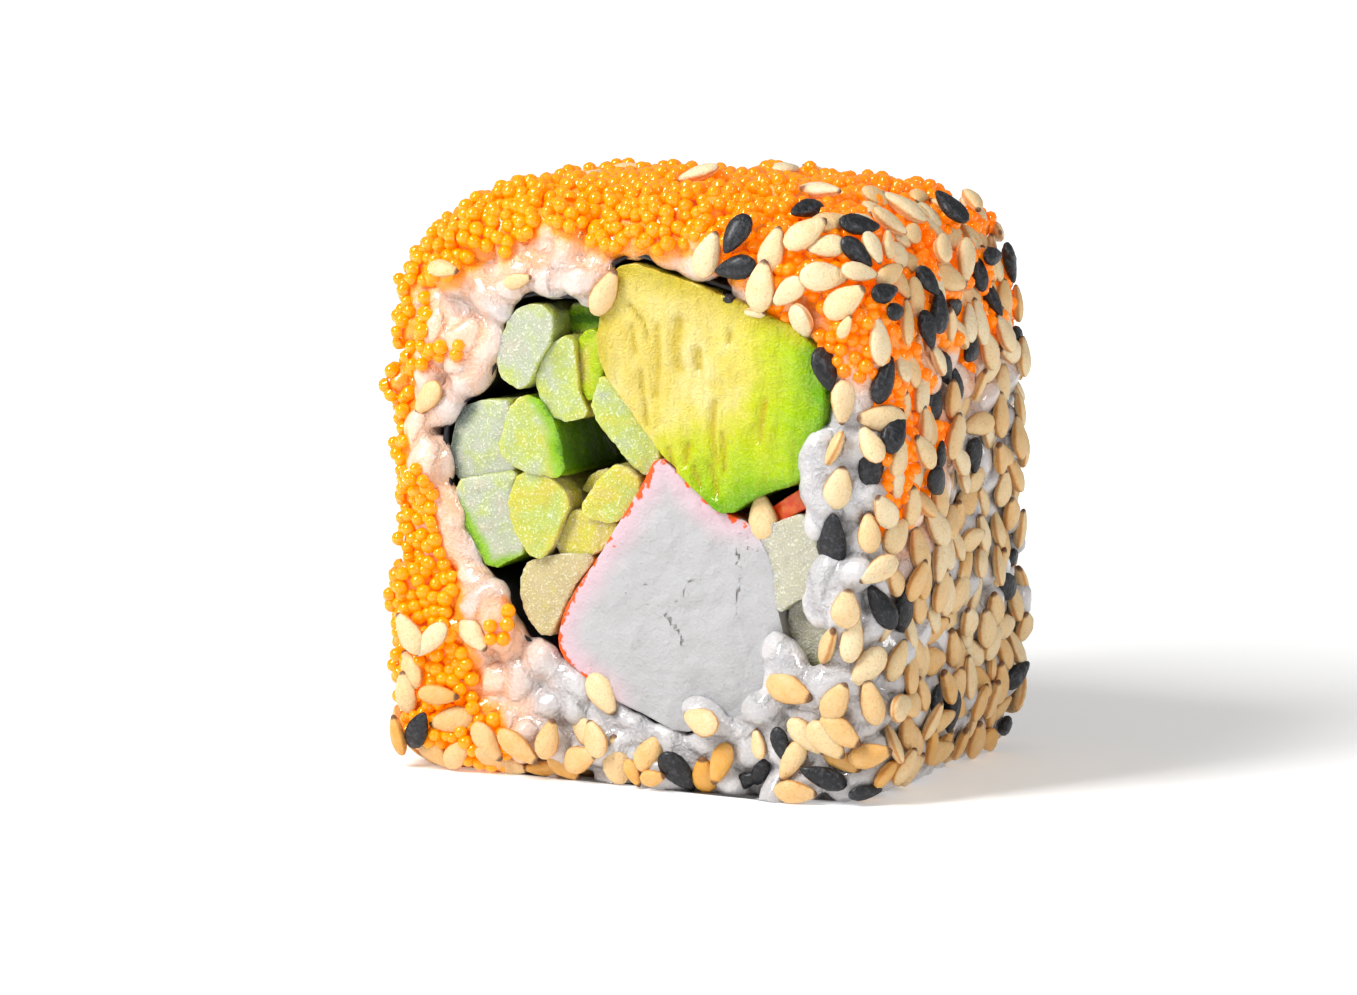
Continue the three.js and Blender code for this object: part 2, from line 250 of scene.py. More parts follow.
class Finish:
    """A material being made: one Principled shader and the patterns that feed it."""

    def __init__(self, name, **constants):
        self.material = bpy.data.materials.new(name)
        self.material.use_nodes = True
        self.tree = self.material.node_tree
        self.shader = self.tree.nodes["Principled BSDF"]
        for socket, value in constants.items():
            self.shader.inputs[socket.replace("_", " ")].default_value = value
        coordinates = self.node("ShaderNodeTexCoord", {}, {}, "Object")
        self.place = self.node("ShaderNodeMapping", {}, {"Vector": coordinates, "Scale": (1 / MM,) * 3})

    def node(self, kind, settings, inputs, output=0):
        """Adds a node. Its settings come first, then the values or links of its sockets."""
        added = self.tree.nodes.new(kind)
        for name, value in settings.items():
            if name == "stops":
                ramp = added.color_ramp.elements
                while len(ramp) < len(value):
                    ramp.new(0.5)
                for element, (position, colour) in zip(ramp, value):
                    element.position = position
                    element.color = (*colour, 1)
            else:
                setattr(added, name, value)
        for name, value in inputs.items():
            self.feed(added.inputs[name], value)
        return Amount(self, added.outputs[output])

    def feed(self, socket, value):
        """Gives a socket a link or a value of its own."""
        if isinstance(value, Amount):
            self.tree.links.new(value.socket, socket)
        elif socket.type == "RGBA":
            socket.default_value = (*value, 1)
        else:
            socket.default_value = value

    def give(self, name, value):
        """Feeds one of the shader's own sockets."""
        self.feed(self.shader.inputs[name], value)

    def mix(self, share, first, second):
        """Two colours mixed, from all of the first at 0 to all of the second at 1."""
        return self.node("ShaderNodeMix", {"data_type": "RGBA"}, {0: share, 6: first, 7: second}, 2)

    def ramp(self, share, *stops):
        return self.node("ShaderNodeValToRGB", {"stops": stops}, {"Fac": share})

    def rise(self, value, low, high):
        """0 below low, 1 above high, and a smooth step between."""
        return self.node("ShaderNodeMapRange", {"interpolation_type": "SMOOTHSTEP"},
                         {"Value": value, "From Min": low, "From Max": high})

    def clouds(self, size, detail=2.0, stretch=(1, 1, 1)):
        """Soft noise with features of the given size in millimetres."""
        place = self.place
        if stretch != (1, 1, 1):
            squeeze = tuple(1 / s for s in stretch)
            place = self.node("ShaderNodeMapping", {}, {"Vector": place, "Scale": squeeze})
        return self.node("ShaderNodeTexNoise", {},
                         {"Vector": place, "Scale": 1 / size, "Detail": detail, "Roughness": 0.55})

    def cells(self, size):
        """Cells of the given size in millimetres: 0 in a cell's middle, and more towards its edge."""
        return self.node("ShaderNodeTexVoronoi", {}, {"Vector": self.place, "Scale": 1 / size}, "Distance")

    def painted(self, name):
        """A number that was stored on the vertices."""
        return self.node("ShaderNodeAttribute", {"attribute_name": name}, {}, "Fac")

    def bumped(self, height, depth):
        """Stands the pattern up from the surface by the given depth in millimetres."""
        self.give("Normal", self.node("ShaderNodeBump", {}, {"Height": height, "Distance": depth * MM}))

    def on(self, *pieces):
        for piece in pieces:
            piece.data.materials.clear()
            piece.data.materials.append(self.material)


# %% [markdown]
# ## The fillings' solids
# Every filling in the frame is a prism with rounded corners. A real stick of cucumber has the same
# outline, but it is pressed against its neighbours, its cut isn't quite flat and its flesh is grainy. So the
# prism is first made a little larger, until the gaps close. A voxel remesh gives it an even skin of small
# faces, the cuts are sliced flat again, so that their edges stay crisp, and Displace modifiers give
# it the knife's wobble and the grain.

# %% Cut pieces from the frame's prisms
FINE = 0.2
FILL = 0.3  # how much a filling grows on each side
CUT_PROUD = 0.05  # how far its flat cuts stand before the frame's


def cut_piece(node, name, wobble, grain, lean=(0, 0), voxel=FINE):
    """A filling pressed against its neighbours, with a flat cut that leans and waves a little."""
    piece = copy_of(node, name)
    low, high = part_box(node)
    centre = (low + high) / 2
    size = (high - low) / MM
    select_faces(piece, lambda centre, normal: True)
    bpy.ops.transform.resize(value=[1 + 2 * FILL / side for side in size], center_override=centre)
    bpy.ops.object.mode_set(mode="OBJECT")
    shaped_by(piece, "REMESH", mode="VOXEL", voxel_size=voxel * MM)
    sliced(piece, low.y / MM - CUT_PROUD, high.y / MM + CUT_PROUD, *lean)
    roughened(piece, "CLOUDS", 2.6, wobble, direction="Y")
    roughened(piece, "CLOUDS", 1.5, grain)
    roughened(piece, "CLOUDS", 0.6, grain * 0.8)
    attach(piece, "root")
    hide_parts(node)
    return piece


def sliced(piece, front, back, forwards, sideways):
    """Flattens both cuts of a piece. The front one leans by small angles, as a hand-held knife does."""
    x, y, z = points_of(piece).T
    lean_z = math.tan(math.radians(forwards)) * (z - z.mean())
    lean_x = math.tan(math.radians(sideways)) * (x - x.mean())
    y = np.minimum(np.maximum(y, front + lean_z + lean_x), back)
    piece.data.vertices.foreach_set("co", (np.stack([x, y, z], axis=1) * MM).ravel())
    piece.data.update()


def away_from(piece, line):
    """How far each vertex is, seen from the front, from a line through (x, z) points, in mm."""
    spots = points_of(piece)[:, [0, 2]]
    nearest = np.full(len(spots), np.inf)
    for start, end in zip(np.array(line[:-1], float), np.array(line[1:], float)):
        along = np.clip((spots - start) @ (end - start) / ((end - start) @ (end - start)), 0, 1)
        gap = np.linalg.norm(spots - start - along[:, None] * (end - start), axis=1)
        nearest = np.minimum(nearest, gap)
    return nearest


def facing_front(piece):
    """1 where a piece faces along the roll, as its cuts do, and 0 on its long sides."""
    normals = np.empty(len(piece.data.vertices) * 3)
    piece.data.vertices.foreach_get("normal", normals)
    return np.abs(normals.reshape(-1, 3)[:, 1])


# %% [markdown]
# ## Cucumber
# Fifteen sticks were cut from a cucumber in its skin. Seen at the cut they run from a greyish white to
# yellow green, and where a stick has kept its skin, its edge is dark and the flesh beside it bright
# green. One finish serves them all: it reads how ripe a stick is, how near its skin, and whether it looks
# at the cut or at a long side.

# %% Cucumber sticks
# For each stick: ripeness, from below 0 for the palest to about 1 for the yellowest, the lean of its cut
# in degrees, the line of its skin as (x, z) in mm, and how dark that skin is.
STICKS = {
    "cucumber_01": (0.14, (3, -4), None, 0),
    "cucumber_02": (0.85, (0, 0), [(-5.5, 31.4), (-2.0, 31.7)], 0.45),
    "cucumber_03": (0.34, (-3, 3), None, 0),
    "cucumber_04": (0.68, (2, -6), [(-4.1, 30.4), (-2.3, 30.8), (-2.4, 26.2), (-3.8, 26.4)], 0.22),
    "cucumber_05": (0.40, (0, 4), None, 0),
    "cucumber_06": (0.16, (-2, -4), [(-12.4, 25.6), (-13.8, 24.0), (-14.0, 22.3), (-13.7, 20.2)], 0.95),
    "cucumber_07": (0.42, (2, 5), [(-6.6, 26.4), (-5.2, 24.4), (-4.6, 21.0)], 0.45),
    "cucumber_08": (0.15, (-3, -3), [(-13.3, 18.0), (-12.6, 17.0), (-10.9, 14.0), (-7.8, 14.6)], 0.45),
    "cucumber_09": (0.52, (3, 3), None, 0),
    "cucumber_10": (0.80, (0, 0), None, 0),
    "cucumber_11": (0.55, (-4, 4), None, 0),
    "cucumber_12": (0.70, (2, -2), None, 0),
    "cucumber_13": (1.05, (3, 3), None, 0),
    "cucumber_14": (-0.35, (0, -4), None, 0),
    "cucumber_15": (-0.30, (0, 0), [(15.4, 13.8), (15.4, 10.2), (13.4, 7.4)], 0.20),
}
SKIN_REACH = 1.8  # how far from the skin its green reaches, in mm

sticks = []
for node, (ripeness, lean, skin_line, darkness) in STICKS.items():
    stick = cut_piece(node, node + "_stick", wobble=0.45, grain=0.16, lean=lean, voxel=FINE * 1.1)
    roughened(stick, "STUCCI", 0.35, 0.07)
    smooth_shaded(stick)
    skin = np.zeros(len(stick.data.vertices))
    if skin_line:
        skin = np.clip(1 - away_from(stick, skin_line) / SKIN_REACH, 0, 1)
    painted(stick, "ripeness", np.full(len(skin), ripeness))
    painted(stick, "skin", skin)
    painted(stick, "darkness", np.full(len(skin), darkness))
    painted(stick, "cut", facing_front(stick))
    sticks.append(stick)
print("cucumber:", sum(len(s.data.polygons) for s in sticks), "faces on", len(sticks), "sticks")

# %% [markdown]
# The wet flesh glistens in points, because each cell of it stands up a little and is smooth. So the bump
# is deep and fine while the roughness stays low, and light goes a little way in and comes out green. Pale
# flecks in the colour are painted glints as well.

# %% Cucumber finish
cucumber = Finish("cucumber_flesh", Subsurface_Weight=0.7, Subsurface_Radius=(1.0, 1.0, 0.5),
                  Subsurface_Scale=1.3 * MM, Coat_Weight=0.6, Coat_Roughness=0.10, IOR=1.36)
mottle = cucumber.clouds(1.6, 3.0)
glint_speckle = cucumber.clouds(0.16, 1.0)
ripe = cucumber.painted("ripeness") + (mottle - 0.5) * 0.9 + (1 - cucumber.painted("cut")) * 0.3
flesh = cucumber.ramp(ripe, (0.0, (0.54, 0.52, 0.41)), (0.16, (0.48, 0.52, 0.39)),
                      (0.40, (0.51, 0.58, 0.15)), (0.65, (0.62, 0.55, 0.06)), (1.0, (0.58, 0.49, 0.27)))
# pale flecks mixed into the colour: painted glints on the wet flesh
flesh = cucumber.mix(cucumber.rise(glint_speckle, 0.54, 0.70) * 0.45, flesh, (0.94, 0.96, 0.82))
near_skin = cucumber.painted("skin") + (mottle - 0.5) * 0.5 + (glint_speckle - 0.5) * 0.4
bright = cucumber.ramp(cucumber.painted("darkness"), (0.2, (0.50, 0.60, 0.008)), (0.5, (0.24, 0.50, 0.006)),
                       (0.9, (0.12, 0.15, 0.12)))
rind = cucumber.ramp(cucumber.painted("darkness"), (0.2, (0.36, 0.50, 0.005)), (0.5, (0.05, 0.20, 0.003)),
                     (0.9, (0.015, 0.025, 0.018)))
flesh = cucumber.mix(cucumber.rise(near_skin, 0.25, 0.75), flesh, bright)
flesh = cucumber.mix(cucumber.rise(near_skin, 0.70, 1.0), flesh, rind)
cucumber.give("Base Color", flesh)
cucumber.give("Roughness", 0.2 + mottle * 0.25)
cucumber.bumped(glint_speckle + cucumber.clouds(0.9) * 0.8, 0.17)
cucumber.on(*sticks)

# %% [markdown]
# ## Avocado
# The wedge is pale yellow in the middle and turns lime and then green towards the skin that was peeled
# off its right and lower sides. The soft flesh shows the knife: upright dents run down its face. They
# are found by their distance from lines through pixels of the picture, so every vertex near a line
# moves in a little, and the material paints shade into it there.

# %% Avocado wedge
AVOCADO_SKIN = [(14.7, 30.2), (14.9, 26.4), (13.2, 21.5), (9.6, 20.2), (7.6, 18.8), (6.3, 19.4)]
AVOCADO_OLD_EDGE = [(-2.4, 28.6), (-2.3, 30.2), (-1.4, 34.4), (0.2, 35.6), (5.8, 34.2), (12.4, 32.0)]
GREEN_REACH = 9.5
OLD_REACH = 3.0
DENT_DEPTH = 0.3
# The knife's dents, as pixels of the picture, with how wide they are in mm.
DENTS = [
    (0.55, [(678, 322), (674, 345), (677, 368)]), (0.4, [(655, 328), (657, 360), (655, 395)]),
    (0.2, [(627, 305), (641, 322), (647, 340)]), (0.3, [(630, 328), (634, 352)]),
    (0.3, [(639, 372), (642, 398), (645, 424)]), (0.35, [(714, 403), (712, 430), (716, 462)]),
    (0.3, [(722, 434), (724, 470)]), (0.35, [(687, 446), (685, 462)]), (0.25, [(693, 468), (698, 486)]),
    (0.35, [(765, 402), (760, 440)]), (0.45, [(697, 352), (698, 366)]), (0.25, [(730, 334), (729, 342)]),
    (0.3, [(710, 466), (716, 494)]), (0.3, [(668, 450), (672, 470)]),
]

avocado_wedge = cut_piece("avocado", "avocado_wedge", wobble=0.5, grain=0.12, lean=(0, -2))
roughened(avocado_wedge, "CLOUDS", 1.1, 0.3, stretch=(0.7, 1, 2.6), direction="Y")
dent = np.zeros(len(avocado_wedge.data.vertices))
for width, line in DENTS:
    gap = away_from(avocado_wedge, [on_cut(*spot) for spot in line])
    dent = np.maximum(dent, np.exp(-(gap / width) ** 2))
painted(avocado_wedge, "dent", dent)
points = points_of(avocado_wedge)
points[:, 1] += dent * DENT_DEPTH * (points[:, 1] < -10)
avocado_wedge.data.vertices.foreach_set("co", (points * MM).ravel())
roughened(avocado_wedge, "STUCCI", 0.5, 0.07)
smooth_shaded(avocado_wedge)
painted(avocado_wedge, "green", np.clip(1 - away_from(avocado_wedge, AVOCADO_SKIN) / GREEN_REACH, 0, 1))
painted(avocado_wedge, "old", np.clip(1 - away_from(avocado_wedge, AVOCADO_OLD_EDGE) / OLD_REACH, 0, 1))

avocado = Finish("avocado_flesh", Subsurface_Weight=0.3, Subsurface_Radius=(1.0, 0.8, 0.3),
                 Subsurface_Scale=0.6 * MM, Specular_Tint=(1.0, 0.9, 0.4, 1), Coat_Weight=0.45,
                 Coat_Roughness=0.08, IOR=1.4)
drift = avocado.clouds(3.2, 3.0)
strokes = avocado.clouds(0.9, 3.0, stretch=(0.6, 1, 2.8))
pores = avocado.clouds(0.18, 1.0)
dent = avocado.painted("dent")
green = avocado.painted("green") + (drift - 0.5) * 0.45 + (strokes - 0.5) * 0.15
colour = avocado.ramp(green, (0.0, (0.66, 0.54, 0.15)), (0.35, (0.66, 0.58, 0.11)),
                      (0.52, (0.52, 0.57, 0.015)), (0.78, (0.38, 0.54, 0.003)), (1.0, (0.16, 0.38, 0.001)))
pale = avocado.rise(drift, 0.42, 0.7) * (1 - avocado.rise(green, 0.3, 0.5))
colour = avocado.mix(pale * 0.75, colour, (0.72, 0.65, 0.34))
colour = avocado.mix(avocado.rise(avocado.painted("old") + (drift - 0.5), 0.3, 1.0) * 0.85, colour,
                     (0.50, 0.41, 0.02))
# darker olive streaks along the knife strokes, and painted shade in the knife's dents
streak_and_dent_shade = avocado.rise(strokes, 0.52, 0.70) * 0.2
streak_and_dent_shade = streak_and_dent_shade.at_least(avocado.rise(dent + (drift - 0.5) * 0.8, 0.3, 1.1) * 0.7)
colour = avocado.mix(streak_and_dent_shade, colour, (0.52, 0.38, 0.012))
colour = avocado.mix(avocado.rise(pores, 0.50, 0.70) * 0.12, colour, (0.86, 0.82, 0.40))
avocado.give("Base Color", colour)
avocado.give("Roughness", 0.22 + drift * 0.25)
avocado.bumped(strokes * 1.1 + pores * 1.0, 0.15)
avocado.on(avocado_wedge)
print("avocado:", len(avocado_wedge.data.polygons), "faces")

# %% [markdown]
# ## Crab stick
# Surimi is a white paste of fish with a red-orange skin painted on one side. The skin shows as a
# ragged rim at the left and at the top corner, and stains the white beside it pink. The cut is
# matt and very fine, with tiny pits. Its hair cracks are finer than any face here, so every vertex
# stores how far it is from them, and the material paints shade into them where that is almost nothing.

# %% Crab stick
SURIMI_RIM = [(-1.6, 5.7), (-5.3, 8.5), (-5.4, 10.6), (-4.5, 12.9), (-2.5, 15.8), (1.0, 20.9), (2.3, 23.1)]
SURIMI_CORNER = [(2.3, 23.1), (4.6, 21.3), (6.4, 19.7), (7.6, 19.1), (9.1, 18.8)]
RIM_REACH = 4.0
# The hair cracks, as pixels of the picture.
CRACKS = [
    [(693, 575), (687, 588), (680, 596), (664, 607), (671, 625), (680, 639), (686, 653)],
    [(730, 547), (737, 568), (739, 589), (734, 611), (725, 639)],
    [(646, 583), (645, 585)], [(741, 540), (748, 556)],
]

surimi_stick = cut_piece("surimi", "surimi_stick", wobble=0.45, grain=0.08, lean=(0, 3))
roughened(surimi_stick, "CLOUDS", 0.9, 0.16, direction="Y")
roughened(surimi_stick, "STUCCI", 0.4, 0.04)
smooth_shaded(surimi_stick)


def ragged(line, steps=5, jog=0.3):
    """A line with more points, each jogged aside at random, as a crack runs."""
    points = [Vector(point) for point in line]
    parts = [a.lerp(b, i / steps) for a, b in zip(points, points[1:]) for i in range(steps)]
    return [(x + chance.uniform(-jog, jog), z + chance.uniform(-jog, jog)) for x, z in parts]


cracks = [ragged([on_cut(*spot) for spot in line]) for line in CRACKS]
split = np.min([away_from(surimi_stick, line) for line in cracks], axis=0)
painted(surimi_stick, "split", split + (1 - facing_front(surimi_stick)) * 3)
rim = np.minimum(away_from(surimi_stick, SURIMI_RIM), away_from(surimi_stick, SURIMI_CORNER) + 0.1)
painted(surimi_stick, "rim", np.clip(1 - rim / RIM_REACH, 0, 1))

surimi_skin_strip = cut_piece("surimi_strip", "surimi_skin_strip", wobble=0.4, grain=0.2, voxel=FINE * 0.8)
smooth_shaded(surimi_skin_strip)

surimi = Finish("surimi_flesh", Subsurface_Weight=0.30, Subsurface_Radius=(1.0, 0.8, 0.7),
                Subsurface_Scale=0.8 * MM, IOR=1.38)
haze = surimi.clouds(2.5, 3.0)
tatter = surimi.clouds(0.8, 3.0)
powder = surimi.clouds(0.22, 2.0)
edge = surimi.painted("rim")
white = surimi.mix(haze, (0.53, 0.525, 0.535), (0.46, 0.455, 0.46))
white = surimi.mix(surimi.rise(edge + (haze - 0.5) * 0.3, 0.3, 1.0) * 0.7, white, (0.78, 0.50, 0.58))
white = surimi.mix(surimi.rise(edge + (tatter - 0.5) * 0.7, 0.86, 0.92), white, (0.95, 0.13, 0.02))
# painted shade in the hair cracks: a dark line where the stored distance is almost nothing
crack_shade = 1 - surimi.rise(surimi.painted("split") + (haze - 0.45) * 0.25, 0.02, 0.12)
white = surimi.mix(crack_shade * 0.7, white, (0.22, 0.20, 0.19))
surimi.give("Base Color", white)
surimi.give("Roughness", 0.42 + powder * 0.15)
pits = surimi.rise(surimi.cells(1.3), 0.0, 0.10)
surimi.bumped(powder * 0.7 + pits * 0.5 - crack_shade * 1.5 + haze * 1.5, 0.14)
surimi.on(surimi_stick)

surimi_red = Finish("surimi_skin_red", Subsurface_Weight=0.2, Subsurface_Scale=0.5 * MM, Coat_Weight=0.3)
tatter = surimi_red.clouds(0.7, 3.0)
surimi_red.give("Base Color", surimi_red.mix(surimi_red.rise(tatter, 0.35, 0.7), (0.92, 0.09, 0.015),
                                             (0.98, 0.24, 0.05)))
surimi_red.give("Roughness", 0.3 + tatter * 0.2)
surimi_red.bumped(tatter, 0.15)
surimi_red.on(surimi_skin_strip)
print("crab stick:", len(surimi_stick.data.polygons), "faces")

# %% [markdown]
# ## Nori
# The sheet is a third of a millimetre thick and a little wavy, with a soft purple-brown sheen. A thin
# sheet would vanish in a voxel remesh, so here the frame's band is sliced across about every millimetre
# with bisect planes and subdivided once, which leaves enough vertices to thin it and to crumple it.

# %% Nori sheet
SLICES = 24
THINNED = 0.05

nori_sheet = copy_of("nori", "nori_sheet")
low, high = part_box("nori")
for i in range(1, SLICES):
    select_faces(nori_sheet, lambda centre, normal: True)
    bpy.ops.mesh.bisect(plane_co=(0, low.y + (high.y - low.y) * i / SLICES, 0), plane_no=(0, 1, 0))
bpy.ops.object.mode_set(mode="OBJECT")
shaped_by(nori_sheet, "SUBSURF", subdivision_type="SIMPLE", levels=1, render_levels=1)
shaped_by(nori_sheet, "DISPLACE", strength=-THINNED * MM, mid_level=0)
roughened(nori_sheet, "CLOUDS", 1.9, 0.16)
smooth_shaded(nori_sheet)
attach(nori_sheet, "root")
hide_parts("nori")

nori = Finish("nori_seaweed", IOR=1.45, Coat_Weight=0.35, Coat_Roughness=0.3)
weed = nori.clouds(0.8, 4.0)
nori.give("Base Color", nori.ramp(weed, (0.35, (0.006, 0.008, 0.009)), (0.55, (0.016, 0.014, 0.022)),
                                  (0.75, (0.055, 0.030, 0.012))))
nori.give("Roughness", 0.30 + weed * 0.3)
nori.bumped(weed, 0.25)
nori.on(nori_sheet)
print("nori:", len(nori_sheet.data.polygons), "faces")

# %% [markdown]
# ## Rice
# The rice is a ring of pressed grains, and several hundred of them show. Cooked grains are four to five
# millimetres long, moist and stuck together, so no grain is whole: each melts into the next. That is
# what a voxel remesh does to grains that overlap. A plain core comes from the frame's ring, remeshed so
# coarsely that its seeds and eggs melt away. Grains are laid all over it, everything is remeshed into
# one skin, and the bore is then cut along the outside of the nori. The cut stops just short of both
# faces, so that a grain by the rim may lap over the sheet's edge, as it does on the real piece.

# %% The bore, from the nori's outer wall
LIP = 0.3  # how far short of each face the bore ends
SLACK = 0.1  # how much narrower the bore is than the sheet, so that no gap opens between them

bore = copy_of("nori", "bore")
middle = (low + high) / 2


def on_inner_wall_or_end(centre, normal):
    """Whether a face of the nori looks inwards or is one of its ends."""
    outwards = Vector((centre.x - middle.x, 0, centre.z - middle.z))
    return abs(normal.y) > 0.5 or normal.dot(outwards) < 0


select_faces(bore, on_inner_wall_or_end)
bpy.ops.mesh.delete(type="FACE")
bpy.ops.mesh.select_all(action="SELECT")
bpy.ops.mesh.fill_holes(sides=0)
bpy.ops.mesh.normals_make_consistent(inside=False)
bpy.ops.object.mode_set(mode="OBJECT")
for direction in (-1, 1):
    select_faces(bore, lambda centre, normal: normal.y * direction > 0.9)
    bpy.ops.transform.translate(value=(0, -direction * LIP * MM, 0))
bpy.ops.object.mode_set(mode="OBJECT")
shaped_by(bore, "DISPLACE", strength=-SLACK * MM, mid_level=0)
print("bore:", len(bore.data.vertices), "vertices")

# %% The core
CORE_SINK = 0.5  # how far the core lies below the frame's ring

core = copy_of("rice", "rice_core")
shaped_by(core, "REMESH", mode="VOXEL", voxel_size=0.7 * MM)
shaped_by(core, "SMOOTH", factor=0.5, iterations=8)
shaped_by(core, "DISPLACE", strength=-CORE_SINK * MM, mid_level=0)


def tree_of(*pieces):
    """A search tree over the faces of several pieces, for rays and nearest points."""
    corners, faces = [], []
    for piece in pieces:
        first = len(corners)
        corners += [v.co for v in piece.data.vertices]
        faces += [[v + first for v in face.vertices] for face in piece.data.polygons]
    return BVHTree.FromPolygons(corners, faces)


bore_tree = tree_of(bore)
core_tree = tree_of(core)
print("core:", len(core.data.polygons), "faces")

# %% [markdown]
# Laying things evenly but without a pattern is one job for grains, eggs and seeds: take all possible
# places in a random order, and keep each one that isn't too close to those kept before.

# %% Laying things out


def spread(places, apart, taken=()):
    """Keeps those places, each a point and a normal, that are the given distance in mm apart."""
    size = apart * MM
    cells = {}

    def cell(point):
        return tuple(int(math.floor(c / size)) for c in point)

    def crowded(point):
        x, y, z = cell(point)
        steps = itertools.product((-1, 0, 1), repeat=3)
        near = (cells.get((x + i, y + j, z + k), ()) for i, j, k in steps)
        return any((other - point).length < size for group in near for other in group)

    for point in taken:
        cells.setdefault(cell(point), []).append(point)
    kept = []
    for point, normal in places:
        if not crowded(point):
            cells.setdefault(cell(point), []).append(point)
            kept.append((point, normal))
    return kept


def face_places(piece, wanted):
    """The centres and normals of the wanted faces of a piece, in a random order."""
    places = [(f.center.copy(), f.normal.copy()) for f in piece.data.polygons if wanted(f.center, f.normal)]
    chance.shuffle(places)
    return places


def lying(point, normal, along, lift, tilt=0.0):
    """A matrix that lays a thing's X axis along a direction and its Z axis on the surface's normal."""
    across = normal.cross(along).normalized()
    forwards = across.cross(normal)
    turn = Matrix((forwards, across, normal)).transposed() @ Matrix.Rotation(tilt, 3, "Y")
    return Matrix.Translation(point + normal * lift * MM) @ turn.to_4x4()


def any_direction():
    """A random vector, as likely to point one way as another."""
    return Vector((chance.gauss(0, 1), chance.gauss(0, 1), chance.gauss(0, 1)))


ABOVE = 0.03  # the least height over the table


def above_table(template, places):
    """Lifts the places where the thing would reach below the table."""
    corners = [v.co for v in template.data.vertices]
    for place in places:
        lowest = min((place @ corner).z for corner in corners)
        if lowest < ABOVE * MM:
            place.translation.z += ABOVE * MM - lowest
    return places


def many(name, template, places):
    """One mesh with a copy of the template at each place."""
    shape = np.array([(*v.co, 1) for v in template.data.vertices])
    faces = [list(face.vertices) for face in template.data.polygons]
    corners = np.concatenate([(shape @ np.array(place).T)[:, :3] for place in places])
    step = len(shape)
    mesh = bpy.data.meshes.new(name)
    faces = [[v + i * step for v in face] for i in range(len(places)) for face in faces]
    mesh.from_pydata(corners.tolist(), [], faces)
    piece = bpy.data.objects.new(name, mesh)
    bpy.context.scene.collection.objects.link(piece)
    return piece


# %% Grains of rice
GRAIN = Vector((4.1, 2.6, 2.2)) * MM
GRAINS_APART = 2.0
RIM_APART = 2.2
MOST_TILT = 0.35  # in radians, so that no grain stands on end
RIM_DEPTH = 12.4  # how far from the middle of the roll the rim's grains lie
LOOSE_OFF = 0.75  # how much further out the loose grains lie
RIM_OFF = 0.5  # how far outside the nori they lie, where they lap over its edge
RIM_OFF_SHOWN = 0.85  # and where they don't
# Where the edge of the nori shows: (x, z) and radius in mm. Elsewhere grains lap over it.
NORI_SHOWS = [(-9.8, 12.0, 3.0), (-10.8, 27.0, 2.0), (-6.0, 33.2, 3.2), (2.5, 35.6, 2.8), (15.2, 27.0, 3.0)]
# Loose grains on the cut face, as pixel, angle in the picture and size.
LOOSE_GRAINS = [(482, 601, 30, 1.1), (497, 622, 100, 1.0), (580, 282, 5, 0.9), (785, 664, 125, 1.15),
                (780, 674, 60, 0.9), (826, 582, 75, 1.1), (839, 606, 95, 1.15), (815, 608, 110, 0.8),
                (826, 690, 10, 1.2), (765, 707, 25, 0.9), (705, 716, 155, 0.9), (818, 458, 80, 1.0),
                (820, 492, 110, 1.05), (817, 520, 80, 0.8)]


def outside_bore(point, margin):
    """Whether a point, seen from the front, is further than the margin in mm from the bore."""
    level = Vector((point.x, 0, point.z))
    nearest, normal, _, distance = bore_tree.find_nearest(level)
    return (level - nearest).dot(normal) > 0 and distance > margin * MM


def nori_shows(point):
    """Whether the nori's edge is in sight near a point, and not lapped over by rice."""
    x, _, z = point / MM
    return any(math.hypot(x - at_x, z - at_z) < radius for at_x, at_z, radius in NORI_SHOWS)


def plump():
    """The size of one grain, each a little different."""
    return Matrix.Diagonal([side * chance.uniform(0.85, 1.15) for side in GRAIN]).to_4x4()


def rim_grains():
    """Grains along the rim of the bore on both faces, lying with the rim or a little across it."""
    walls = face_places(bore, lambda centre, normal: abs(normal.y) < 0.5)
    places = []
    for side in (-1, 1):
        spots = []
        for centre, outwards in walls:
            off = RIM_OFF_SHOWN if nori_shows(centre) else RIM_OFF
            spot = Vector((centre.x, side * RIM_DEPTH * MM, centre.z))
            spots.append((spot + outwards * off * MM, outwards))
        for point, outwards in spread(spots, RIM_APART):
            along = outwards.cross(Vector((0, 1, 0))) + any_direction() * 0.25
            lift = chance.uniform(-0.25, 0.25)
            places.append(lying(point, Vector((0, side, 0)), along, lift, chance.gauss(0, 0.15)) @ plump())
    return places


bpy.ops.mesh.primitive_uv_sphere_add(segments=12, ring_count=8, radius=0.5, rotation=(0, math.pi / 2, 0))
grain = bpy.context.object
bpy.ops.object.transform_apply(rotation=True)
spots = face_places(core, lambda centre, normal: centre.z > 0.3 * MM and outside_bore(centre, 1.2))
grain_places = rim_grains()
for px, py, angle, size in LOOSE_GRAINS:
    x, z = on_cut(px, py)
    along = Vector((math.cos(math.radians(angle)), 0, math.sin(math.radians(angle))))
    spot = Vector((x, -RIM_DEPTH - LOOSE_OFF, z)) * MM
    grain_places.append(lying(spot, Vector((0, -1, 0)), along, 0, 0.1) @ plump() @ Matrix.Scale(size, 4))
for point, normal in spread(spots, GRAINS_APART):
    lift = chance.uniform(-0.3, 0.4)
    tilt = max(-MOST_TILT, min(MOST_TILT, chance.gauss(0, 0.3)))
    grain_places.append(lying(point, normal, any_direction(), lift, tilt) @ plump())
grains = many("grains", grain, grain_places)
bpy.data.objects.remove(grain)
print("grains:", len(grain_places))

# %% One skin over core and grains
RICE_FACES = 95000
RICE_VOXEL = 0.24

